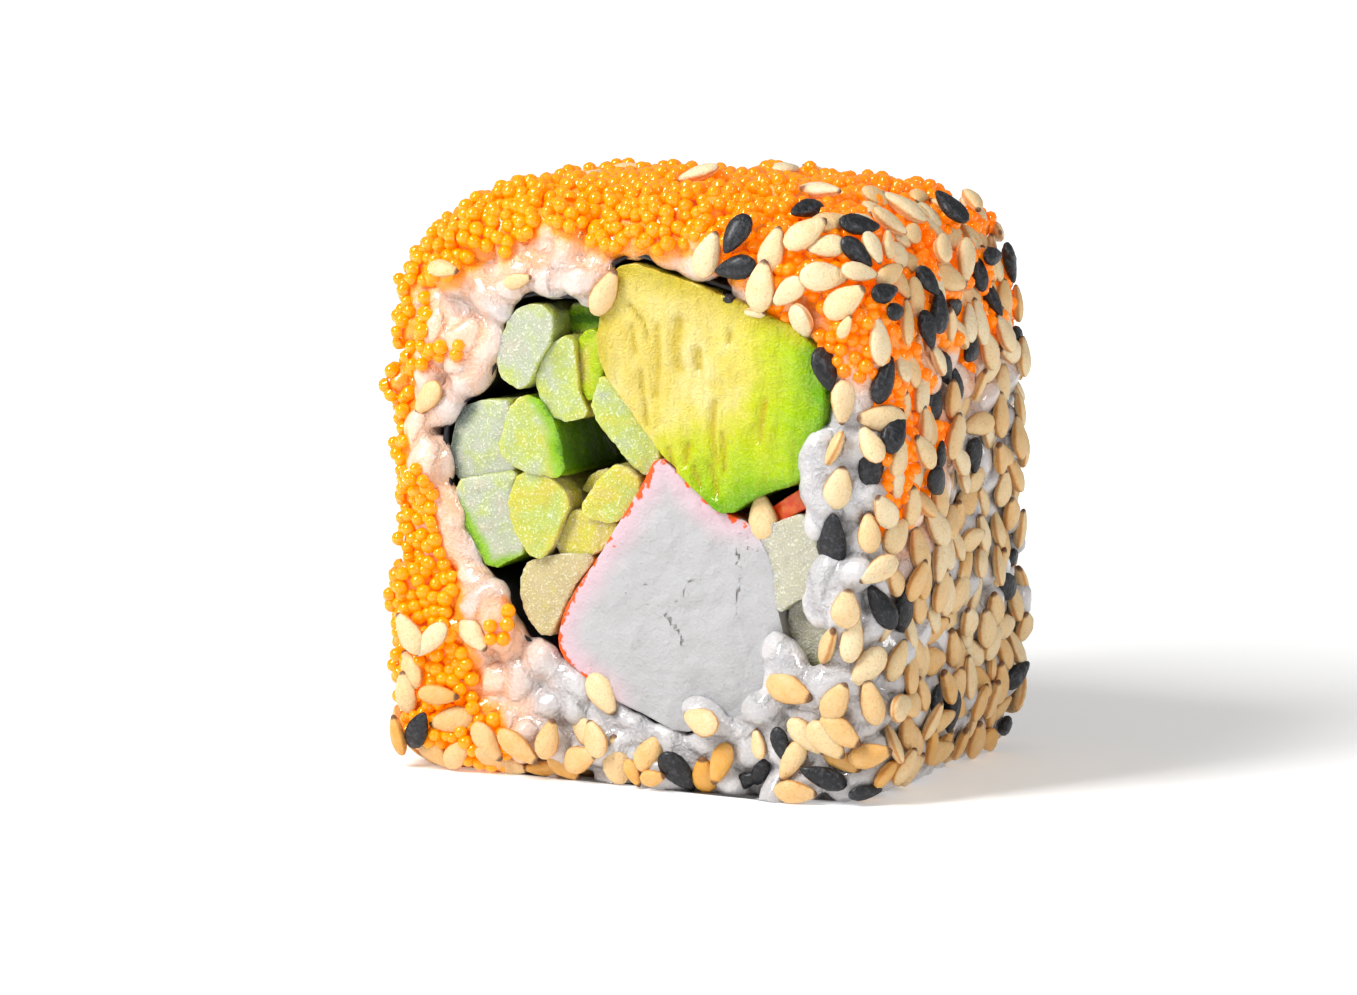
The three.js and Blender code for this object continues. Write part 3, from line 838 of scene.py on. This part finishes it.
rice = joined("rice_ring", core, grains)
shaped_by(rice, "REMESH", mode="VOXEL", voxel_size=RICE_VOXEL * MM)
roughened(rice, "CLOUDS", 1.6, 0.3)
shaped_by(rice, "BOOLEAN", operation="DIFFERENCE", object=bore, solver="MANIFOLD")
select_faces(rice, lambda centre, normal: True)
bpy.ops.mesh.bisect(plane_co=(0, 0, 0.02 * MM), plane_no=(0, 0, 1), clear_inner=True, use_fill=True)
bpy.ops.object.mode_set(mode="OBJECT")
shaped_by(rice, "SMOOTH", factor=0.5, iterations=1)
if len(rice.data.polygons) > RICE_FACES:
    shaped_by(rice, "DECIMATE", ratio=RICE_FACES / len(rice.data.polygons))
smooth_shaded(rice)
bpy.data.objects.remove(bore)
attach(rice, "root")
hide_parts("rice")
rice_tree = tree_of(rice)
print("rice:", len(rice.data.polygons), "faces")

# %% [markdown]
# The remesh blurs the seams where one grain meets the next, but the places of the grains are known. So
# each vertex of the skin stores which grain it belongs to, as a tone, and how much closer that one
# is than the next grain, which is nothing right on a seam.

# %% Seams between grains
AXIS = (-0.36, -0.18, 0, 0.18, 0.36)  # points along a grain, as shares of its length
axis_search = KDTree(len(grain_places) * len(AXIS))
for i, place in enumerate(grain_places):
    for share in AXIS:
        axis_search.insert(place @ Vector((share, 0, 0)), i)
axis_search.balance()
grain_tones = [chance.random() for _ in grain_places]
tones, seams = [], []
for vertex in rice.data.vertices:
    found = axis_search.find_n(vertex.co, 12)
    _, own, nearest = found[0]
    following = next((distance for _, i, distance in found if i != own), nearest + 2 * MM)
    tones.append(grain_tones[own])
    seams.append((following - nearest) / MM)
painted(rice, "grain_tone", tones)
painted(rice, "seam", seams)
print("seams: half of the skin is within", round(float(np.median(seams)), 2), "mm")

# %% [markdown]
# ## Roe
# Capelin eggs are a millimetre across. They cover the crown and most of the left side, spill over the
# front edge, and run down the right front corner in a streak. They lie where the rice is, so their places
# are the rice's own faces, kept where roe belongs.

# %% Where roe lies
# How far down the roe reaches on the cut faces, as (x, z) in mm from left to right.
ROE_HEM = [(-18, 33.6), (-13, 34.6), (-9, 36.4), (-6.5, 38.2), (-3.5, 37.6), (0, 35.9), (4, 37.2),
           (8, 35.6), (18, 31.0)]
# Clusters beside that, as the pixel of the picture at their middle and their radius in mm.
ROE_CLUSTERS = [
    (404, 316, 0.8), (396, 339, 0.6), (400, 400, 1.5), (415, 479, 0.8), (420, 500, 2.2), (424, 540, 1.8),
    (402, 596, 1.6), (428, 590, 2.2), (420, 620, 2.0), (432, 668, 3.2), (455, 720, 2.6), (480, 745, 2.2),
    (419, 361, 0.5), (428, 354, 0.5), (438, 350, 0.5), (460, 350, 0.5), (500, 633, 0.8), (503, 610, 0.4),
    (467, 670, 0.5), (775, 322, 0.9), (800, 330, 1), (838, 345, 1.4), (860, 352, 1.8), (880, 350, 1.5),
    (905, 372, 2.2), (895, 405, 1.6), (918, 400, 1.8), (912, 428, 2.0), (906, 455, 2.2), (914, 482, 2.0),
    (900, 505, 1.8), (890, 522, 1.2), (930, 430, 1.5), (968, 350, 1.3), (985, 330, 1.2), (945, 435, 1),
]


def seen_at(px, py, tree):
    """The point and normal of a surface at a pixel of the picture, or where the ray passes nearest."""
    aim = camera_ray(px, py)
    point, normal, _, _ = tree.ray_cast(camera.location, aim)
    if point is None:
        along = [camera.location + aim * (DISTANCE + step * MM) for step in range(-25, 26)]
        nearest = min((tree.find_nearest(p) for p in along), key=lambda found: found[3])
        point, normal = nearest[0], nearest[1]
    return point, normal


cluster_middles = [(seen_at(px, py, rice_tree)[0], radius * MM) for px, py, radius in ROE_CLUSTERS]
hem_x, hem_z = zip(*ROE_HEM)


def roe_lies(centre, normal):
    """Whether the roe covers this spot of the rice."""
    x, y, z = centre / MM
    patch = noise.noise(Vector((x, y, z)) * 0.16)
    fringe = noise.noise(Vector((x, y, z)) * 0.55)
    if any((centre - spot).length < radius for spot, radius in cluster_middles):
        return True
    if normal.z < -0.3 or not outside_bore(centre, 0.7):
        return False
    if z > np.interp(x, hem_x, hem_z) + fringe * 1.6:
        return True
    if x < -15 and normal.x < -0.5:
        return patch + fringe * 0.5 > -0.08
    return x > 15 and z > 30 and patch > 0.02


# %% [markdown]
# There are thousands of eggs, so each has only forty triangles: a coarse ball without its bottom, which
# is sunk in the rice. Smooth shading and the glint on its coat make it look round.

# %% The eggs
EGG_RADIUS = 0.52
EGGS_APART = 0.65
EGGS_MOST = 4400  # a limit on the number of faces

bpy.ops.mesh.primitive_uv_sphere_add(segments=8, ring_count=5, radius=EGG_RADIUS * MM)
egg = bpy.context.object
select_faces(egg, lambda centre, normal: normal.z < -0.3)
bpy.ops.mesh.delete(type="FACE")
bpy.ops.object.mode_set(mode="OBJECT")
spots = spread(face_places(rice, roe_lies), EGGS_APART)
print("room for", len(spots), "eggs")
egg_places = []
for point, normal in spots[:EGGS_MOST]:
    size = Matrix.Diagonal([chance.uniform(0.9, 1.12)] * 3).to_4x4()
    lift = chance.uniform(0.0, 0.4) - (0.25 if point.x > 4 * MM else 0)
    egg_places.append(lying(point, normal, any_direction(), lift) @ size)
roe = many("roe", egg, above_table(egg, egg_places))
tones = [np.clip((p.translation.x / MM + 8) / 24, 0, 1) * 0.7 + chance.uniform(0, 0.3) for p in egg_places]
painted(roe, "tone", np.repeat(tones, len(egg.data.vertices)))
bpy.data.objects.remove(egg)
smooth_shaded(roe)
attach(roe, "root")
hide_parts("rice")
print("roe:", len(egg_places), "eggs")

# %% [markdown]
# An egg is a drop of amber jelly with a skin, so light enters it, reddens and comes out again all round.
# Subsurface light that reaches about half an egg deep and a soft glow of its own stand in for that at
# little cost, and a smooth coat gives the pinpoint highlight.

# %% Roe finish
roe_finish = Finish("roe_amber", Subsurface_Weight=0.4, Subsurface_Radius=(1.0, 0.4, 0.05),
                    Subsurface_Scale=0.5 * MM, IOR=1.33, Specular_Tint=(1.0, 0.5, 0.05, 1),
                    Coat_Weight=0.8, Coat_IOR=1.65, Coat_Roughness=0.02, Emission_Strength=0.36)
tone = roe_finish.painted("tone")
jelly = roe_finish.clouds(0.5, 2.0)
amber = roe_finish.ramp(tone, (0.0, (0.90, 0.33, 0.0)), (0.5, (0.90, 0.29, 0.0)), (1.0, (0.88, 0.21, 0.001)))
amber = roe_finish.mix(roe_finish.rise(jelly, 0.4, 0.8) * 0.3, amber, (0.95, 0.29, 0.0))
roe_finish.give("Base Color", amber)
roe_finish.give("Emission Color", amber)
roe_finish.give("Roughness", 0.10 + jelly * 0.12)
roe_finish.on(roe)

# %% [markdown]
# The juice of the roe has run into the rice. Near the eggs it is orange, further off peach, and at the
# foot it stays a greyish white. So every vertex of the rice stores how far the closest egg is. On the
# cut face the juice stops at the hem of the roe and right of the avocado, and it collects at the
# lower left, so there the distance is made longer or shorter.

# %% Rice finish
egg_search = KDTree(len(egg_places))
for i, place in enumerate(egg_places):
    egg_search.insert(place.translation, i)
egg_search.balance()
x, y, z = points_of(rice).T
gap = np.array([egg_search.find(v.co)[2] / MM for v in rice.data.vertices])
gap += np.clip((np.interp(x, hem_x, hem_z) - z) / 3, 0, 0.9) * (x > -16.5)
gap += np.clip((x - 9) / 3, 0, 1) * (y < -11.5) * np.clip((29 - z) / 4, 0, 1) * 5
gap -= np.clip((-8 - x) / 5, 0, 1) * np.clip((16 - z) / 5, 0, 1) * 1.1
painted(rice, "egg_gap", gap)

rice_finish = Finish("rice_cooked", Subsurface_Weight=0.35, Subsurface_Radius=(1.0, 0.85, 0.7),
                     Subsurface_Scale=0.6 * MM, IOR=1.4, Coat_Weight=0.9, Coat_Roughness=0.05)
gap = rice_finish.painted("egg_gap")
haze = rice_finish.clouds(3.0, 3.0)
lump = rice_finish.clouds(1.1, 3.0)
sparkle = rice_finish.clouds(0.22, 1.0)
seam = 1 - rice_finish.rise(rice_finish.painted("seam") + (sparkle - 0.5) * 0.15, 0.0, 0.45)
own = rice_finish.painted("grain_tone")
peach = 1 - rice_finish.rise(gap + (haze - 0.5) * 5, 0.6, 7.0)
juice = 1 - rice_finish.rise(gap + (lump - 0.5) * 1.2 + (own - 0.5) * 0.8, 0.8, 1.7)
starch = rice_finish.mix(own * 0.7 + lump * 0.4, (0.50, 0.49, 0.50), (0.70, 0.68, 0.68))
starch = rice_finish.mix(peach * (0.55 + own * 0.45), starch, (0.92, 0.58, 0.40))
# the seams between grains: painted shade, grey where the rice is white, and the roe's orange juice where it
# is peach
seam_shade_and_juice = rice_finish.mix(peach, (0.42, 0.41, 0.43), (0.94, 0.46, 0.20))
starch = rice_finish.mix(seam * 0.55, starch, seam_shade_and_juice)
# pale flecks mixed into the colour: painted glints on the wet grains
starch = rice_finish.mix(rice_finish.rise(sparkle, 0.50, 0.70) * 0.2, starch, (0.90, 0.88, 0.87))
starch = rice_finish.mix(juice * 0.95, starch, (1.0, 0.36, 0.006))
rice_finish.give("Base Color", starch)
rice_finish.give("Roughness", 0.2 + lump * 0.3)
rice_finish.bumped(lump * 0.6 + sparkle * 0.4 - seam * 0.9, 0.2)
rice_finish.on(rice)

# %% [markdown]
# ## Sesame
# A sesame seed is a flat teardrop three millimetres long. It starts as a sphere with few faces, because
# there are hundreds: flattened, tapered to its tip and a little hollow along its upper side. White seeds
# are toasted cream to golden, brown at the flanks and the tip. Black seeds are wrinkled and dull.

# %% The seed
SEED = Vector((3.05, 1.9, 1.05)) * MM


def seed_template():
    """A teardrop along X, with its tip towards +X."""
    bpy.ops.mesh.primitive_uv_sphere_add(segments=12, ring_count=8, radius=0.5, rotation=(0, math.pi / 2, 0))
    seed = bpy.context.object
    bpy.ops.object.transform_apply(rotation=True)
    seed.scale = SEED
    bpy.ops.object.transform_apply(scale=True)
    for vertex in seed.data.vertices:
        share = vertex.co.x / SEED.x
        taper = 1 - 0.75 * max(share + 0.12, 0) + 0.1 * max(-share, 0)
        vertex.co.y *= taper
        vertex.co.z *= 0.5 + 0.5 * taper
        flat = abs(vertex.co.y) / (SEED.y / 2)
        if vertex.co.z > 0:
            vertex.co.z *= 0.85 + 0.15 * flat
    return seed


# Black seeds that the picture shows: pixel, the angle in the picture that the tip points at, size.
BLACK_SEEDS = [
    (738, 236, 240, 1), (738, 268, 190, 1), (730, 294, 0, 1.1), (805, 214, 197, 0.9), (822, 370, 283, 1),
    (857, 229, 355, 1), (855, 254, 318, 0.9), (949, 212, 142, 1.1), (1017, 246, 85, 1), (987, 257, 12, 0.9),
    (1004, 264, 285, 1), (974, 273, 97, 0.9), (924, 283, 310, 0.8), (986, 300, 295, 1), (881, 295, 20, 0.8),
    (890, 313, 15, 0.8), (934, 312, 90, 1), (948, 305, 135, 0.9), (923, 330, 285, 0.9),
    (1015, 335, 40, 0.8), (965, 351, 240, 0.9), (939, 368, 290, 0.9), (952, 384, 100, 0.9),
    (880, 380, 75, 1.1), (930, 402, 80, 1), (892, 431, 70, 1.15), (869, 471, 263, 1.25),
    (937, 454, 85, 0.7), (971, 455, 275, 0.9), (933, 481, 298, 1), (835, 540, 80, 1.35),
    (1009, 556, 25, 0.8), (1001, 584, 135, 1.1), (879, 607, 120, 1.15), (900, 609, 95, 1.15),
    (933, 699, 85, 0.7), (948, 711, 275, 1.1), (1014, 674, 55, 1), (1002, 725, 300, 1),
    (824, 776, 160, 1.1), (864, 789, 10, 0.8), (679, 769, 315, 1.15), (782, 744, 280, 0.8),
    (763, 768, 65, 0.8), (749, 779, 20, 0.65),
]
# White seeds on the cut face and on the crown, in the same way.
WHITE_SEEDS = [
    (700, 179, 197, 1), (710, 254, 70, 1.1), (774, 250, 75, 1.1), (819, 197, 352, 1.2), (807, 235, 35, 1.1),
    (826, 249, 185, 0.9), (764, 284, 85, 1.2), (791, 290, 220, 1), (823, 277, 0, 1.1), (758, 308, 0, 0.7),
    (806, 319, 285, 1.2), (847, 301, 35, 1.1), (848, 326, 60, 0.6), (856, 274, 350, 0.9),
    (842, 402, 265, 1), (900, 212, 148, 1.2), (916, 203, 250, 0.9), (885, 226, 325, 1.1),
    (883, 245, 90, 0.7), (870, 252, 305, 0.8), (909, 237, 70, 0.8), (884, 275, 40, 0.9),
    (938, 250, 75, 1.1), (961, 262, 270, 1.1), (896, 287, 300, 0.8), (945, 281, 340, 1.1),
    (970, 206, 300, 1), (993, 237, 15, 1), (910, 302, 280, 1.1), (879, 418, 180, 1.2), (765, 518, 95, 1.2),
    (792, 690, 335, 1.2), (837, 700, 60, 1), (703, 722, 155, 1.1), (761, 744, 100, 0.7), (722, 764, 250, 1),
    (793, 760, 240, 1.1), (808, 736, 315, 1.1), (828, 740, 315, 1.1), (842, 732, 325, 1.1),
    (832, 645, 75, 1.1), (853, 638, 80, 1.1), (867, 667, 230, 1.1), (430, 398, 230, 1), (606, 290, 65, 1.2),
    (520, 279, 15, 0.7), (446, 272, 350, 0.8), (411, 633, 120, 1.1), (433, 640, 225, 1.1),
    (414, 669, 110, 1), (408, 691, 100, 1), (440, 694, 355, 1), (453, 719, 190, 1.1), (489, 741, 310, 1.1),
    (520, 746, 322, 1.2), (399, 736, 75, 1), (476, 635, 310, 1), (604, 695, 298, 1.1), (437, 750, 320, 1.1),
    (441, 765, 350, 0.9), (472, 771, 350, 1), (496, 771, 325, 1.1), (511, 762, 340, 1),
    (543, 775, 172, 0.9), (583, 758, 18, 1.1), (590, 774, 5, 1), (566, 778, 320, 0.9), (618, 762, 100, 1.2),
    (635, 772, 300, 0.7), (655, 776, 10, 0.7),
]
print("seeds placed by eye:", len(BLACK_SEEDS), "black and", len(WHITE_SEEDS), "white")

# %% [markdown]
# A seed's angle in the picture isn't its angle on the surface, which may be seen from the side. Two rays,
# one through the seed's middle and one a little way towards its tip, meet the plane that it lies
# on, and the line between them is the seed's own direction.

# %% Laying the seeds
STEP = 6  # in pixels
SEEDS_APART = 1.85
BLACK_SHARE = 0.14

coat_tree = tree_of(rice, roe, avocado_wedge, surimi_stick, surimi_skin_strip, *sticks)


def calm_normal(point, normal):
    """The normal of the smooth core under a point, since one egg or grain says little."""
    _, calm, _, distance = core_tree.find_nearest(point)
    return (calm * 0.75 + normal * 0.25).normalized() if distance < 3 * MM else normal


def seed_seen_at(px, py, angle, size):
    """The place of a seed that the picture shows."""
    point, normal = seen_at(px, py, coat_tree)
    normal = calm_normal(point, normal)
    turn = math.radians(angle)
    aim = camera_ray(px + STEP * math.cos(turn), py - STEP * math.sin(turn))
    ahead = intersect_line_plane(camera.location, camera.location + aim, point, normal)
    along = (ahead - point) if ahead else any_direction()
    scale = Matrix.Diagonal((size, size * chance.uniform(0.8, 1.05), size)).to_4x4()
    return lying(point, normal, along, 0.45 if point.z > 28 * MM else 0.3, chance.gauss(0, 0.08)) @ scale


def seeds_lie(centre, normal):
    """Whether loose seeds stick to this spot."""
    x, y, z = centre / MM
    if z < 0.9 or normal.z < -0.6 or not outside_bore(centre, 1.2):
        return False
    if x > 14.2:
        return normal.y > -0.75 or z < 6
    if z < 3.2:
        return True
    if x > 9 and z > 36:
        return y > 3 and noise.noise(Vector((x, y, z)) * 0.3) > 0.2
    if z < 9 and normal.y > -0.5:
        return noise.noise(Vector((x, y, z)) * 0.2) > 0
    return y > 0 and noise.noise(Vector((x, y, z)) * 0.4) > 0.42


white_places = [seed_seen_at(*seed) for seed in WHITE_SEEDS]
black_places = [seed_seen_at(*seed) for seed in BLACK_SEEDS]
taken = [place.translation for place in white_places + black_places]
for point, normal in spread(face_places(rice, seeds_lie), SEEDS_APART, taken):
    normal = calm_normal(point, normal)
    scale = Matrix.Diagonal([chance.uniform(0.88, 1.14) for _ in range(3)]).to_4x4()
    upright = Vector((0, 0, 1)) + any_direction() * 0.8
    crown = point.z > 36 * MM
    lift = 0.2 if crown else chance.uniform(0.25, 0.6)
    place = lying(point, normal, upright, lift, chance.gauss(0, 0.05 if crown else 0.15)) @ scale
    seen = (camera.location - point).dot(normal) > 0 and (point.z > 30 * MM or point.x > 14 * MM)
    (black_places if not seen and chance.random() < BLACK_SHARE else white_places).append(place)


def sown(name, places):
    """All seeds of one kind as one piece."""
    seed = seed_template()
    piece = many(name, seed, above_table(seed, places))
    share = [v.co.x / SEED.x + 0.5 for v in seed.data.vertices]
    toasted = [chance.uniform(0, 0.6) + 0.5 * math.exp(-place.translation.z / MM / 7) for place in places]
    painted(piece, "tone", np.repeat(toasted, len(share)))
    painted(piece, "along", np.tile(share, len(places)))
    flank = [1 - abs(v.normal.z) for v in seed.data.vertices]
    painted(piece, "flank", np.tile(flank, len(places)))
    bpy.data.objects.remove(seed)
    smooth_shaded(piece)
    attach(piece, "root")
    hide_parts("rice")
    return piece


white_seeds = sown("sesame_white_seeds", white_places)
black_seeds = sown("sesame_black_seeds", black_places)
print("seeds:", len(white_places), "white and", len(black_places), "black")

# %% Sesame finishes
white_finish = Finish("sesame_toasted", Subsurface_Weight=0.25, Subsurface_Radius=(1.0, 0.6, 0.3),
                      Subsurface_Scale=0.5 * MM, IOR=1.45, Coat_Weight=0.15, Coat_Roughness=0.3)
tone = white_finish.painted("tone")
along = white_finish.painted("along")
toast = white_finish.clouds(0.9, 3.0)
fleck = white_finish.clouds(0.16, 2.0)
husk = white_finish.ramp(tone + (toast - 0.5) * 0.5, (0.0, (0.84, 0.72, 0.50)), (0.35, (0.82, 0.63, 0.37)),
                         (0.7, (0.79, 0.52, 0.24)), (1.0, (0.74, 0.40, 0.08)))
husk = white_finish.mix(white_finish.rise(fleck, 0.50, 0.75) * 0.4, husk, (0.62, 0.34, 0.12))
flank = white_finish.rise(white_finish.painted("flank") + (toast - 0.5) * 0.5, 0.45, 0.95)
husk = white_finish.mix(flank * 0.8, husk, (0.60, 0.26, 0.05))
tip = white_finish.rise(along + (toast - 0.5) * 0.1 + (tone - 0.5) * 0.06, 0.88, 0.95)
husk = white_finish.mix(tip * 0.85, husk, (0.11, 0.035, 0.018))
white_finish.give("Base Color", husk)
white_finish.give("Roughness", 0.42 + toast * 0.2)
white_finish.bumped(toast * 0.7 + fleck * 0.4, 0.16)
white_finish.on(white_seeds)

black_finish = Finish("sesame_charcoal", IOR=1.5, Coat_Weight=0.3, Coat_Roughness=0.25)
wrinkle = black_finish.clouds(0.35, 3.0)
dust = black_finish.clouds(1.2, 3.0)
coal = black_finish.mix(black_finish.rise(wrinkle, 0.45, 0.75), (0.010, 0.011, 0.014), (0.055, 0.058, 0.070))
coal = black_finish.mix(black_finish.rise(dust, 0.62, 0.74) * 0.35, coal, (0.22, 0.22, 0.24))
black_finish.give("Base Color", coal)
black_finish.give("Roughness", 0.38 + dust * 0.25)
black_finish.bumped(wrinkle, 0.24)
black_finish.on(black_seeds)

# %% [markdown]
# ## Table and light
# The piece stands on a plain white table under an even studio sky. The table glows a little, more so
# far away, as a sweep of paper lit from behind does. A tall narrow box up at the left is the main light
# and gives the wet surfaces their glints, and a weaker one at the right does so for the seeds' side.

# %% Table and light
bpy.ops.mesh.primitive_plane_add(size=40)
table = bpy.context.object
table.name = "table"
table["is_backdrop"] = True
table_finish = Finish("table_white", Roughness=0.6, Emission_Strength=1.0)
paper = table_finish.mix(table_finish.clouds(40), (0.86, 0.86, 0.86), (0.88, 0.88, 0.88))
table_finish.give("Base Color", paper)
away = table_finish.node("ShaderNodeVectorMath", {"operation": "LENGTH"}, {0: table_finish.place}, "Value")
glow = table_finish.mix(table_finish.rise(away, 20, 240), (0.28, 0.28, 0.28), (0.84, 0.84, 0.84))
table_finish.give("Emission Color", glow)
table_finish.on(table)

world = bpy.data.worlds.new("studio")
world.use_nodes = True
world.node_tree.nodes["Background"].inputs["Color"].default_value = (1, 1, 1, 1)
world.node_tree.nodes["Background"].inputs["Strength"].default_value = 0.31
bpy.context.scene.world = world
bpy.context.scene.view_settings.view_transform = "Standard"
bpy.context.scene.view_settings.gamma = 0.88


def soft_box(name, place, size, power):
    """A tall strip of light that looks at the middle of the roll."""
    bpy.ops.object.light_add(type="AREA", location=Vector(place) * MM)
    light = bpy.context.object
    light.name = name
    light.data.shape = "RECTANGLE"
    light.data.size = size * MM
    light.data.size_y = 2.5 * size * MM
    light.data.energy = power
    aim = light.location - Vector((0, 0, 20 * MM))
    light.rotation_euler = aim.to_track_quat("Z", "Y").to_euler()


soft_box("key_light", (-150, -240, 290), 90, 1.6)
soft_box("side_light", (330, -140, 200), 60, 0.35)

# %% [markdown]
# ## Sizes
# The size of the dressed roll is printed.

# %% Sizes
low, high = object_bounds()
print("visual:", [round(x / MM, 1) for x in high - low], "mm")
